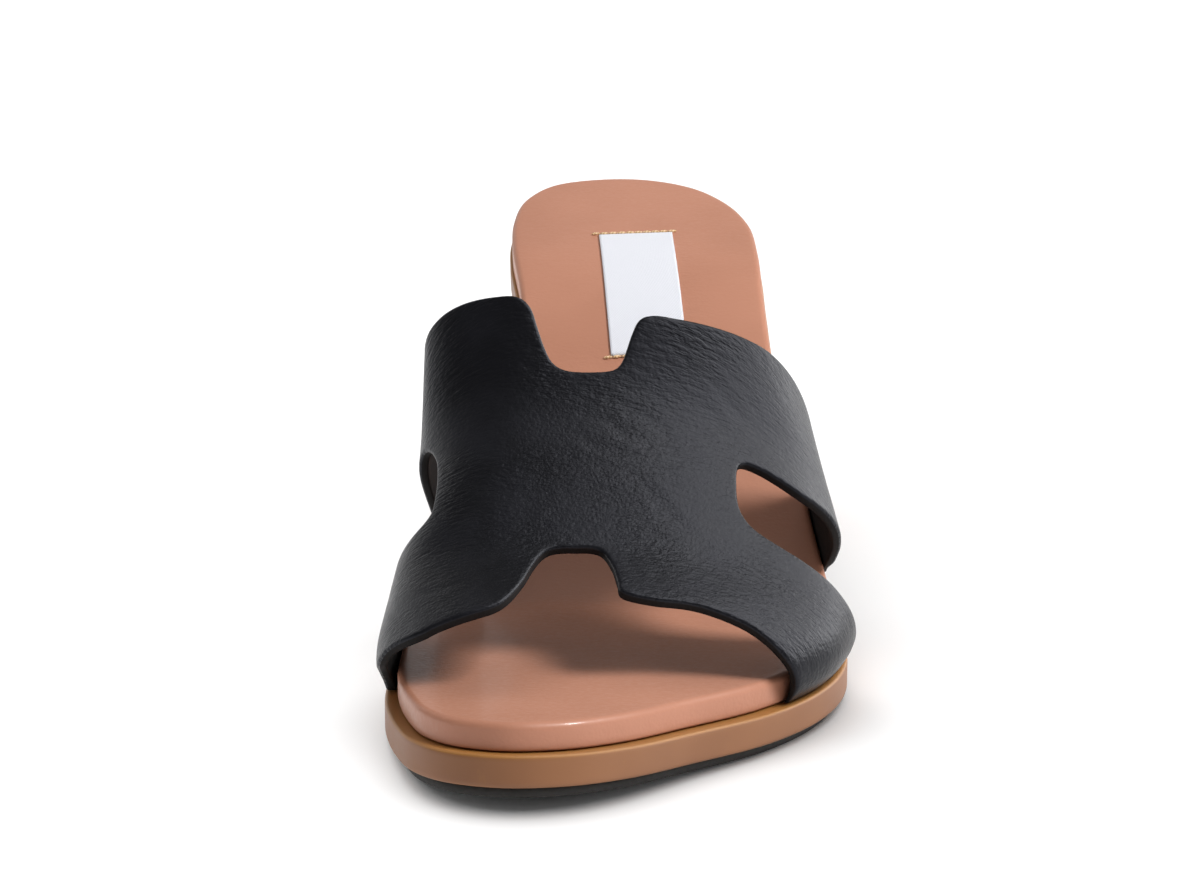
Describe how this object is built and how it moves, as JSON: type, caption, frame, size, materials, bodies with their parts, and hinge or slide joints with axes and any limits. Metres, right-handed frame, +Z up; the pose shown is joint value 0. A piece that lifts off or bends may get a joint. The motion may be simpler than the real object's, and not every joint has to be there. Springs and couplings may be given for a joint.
{
  "type": "block-heel slide sandal",
  "caption": "Left slide sandal with a one-piece black leather strap cut like the letter H, a padded tan footbed on a ledged sole, and a block heel.",
  "frame": {"origin": "middle of the shoe's box, on the ground", "axes": "+Z up, heel towards +Y and toe towards -Y, inner side of the foot towards -X"},
  "size_m": [0.0912, 0.2326, 0.0738],
  "materials": {
    "footbed_leather": "smooth tan, satin",
    "strap_leather": "fine-grained black, satin",
    "sole_leather": "natural brown, satin",
    "tread_rubber": "matt black",
    "heel_leather": "natural brown, satin",
    "heel_tip_rubber": "matt black",
    "label_fabric": "blank white woven tape"
  },
  "bodies": {
    "root": {"footbed": "footbed_leather", "strap_upper": "strap_leather", "sole": "sole_leather", "tread": "tread_rubber", "heel_block": "heel_leather", "heel_tip": "heel_tip_rubber", "label": "label_fabric"}
  },
  "joints": []
}
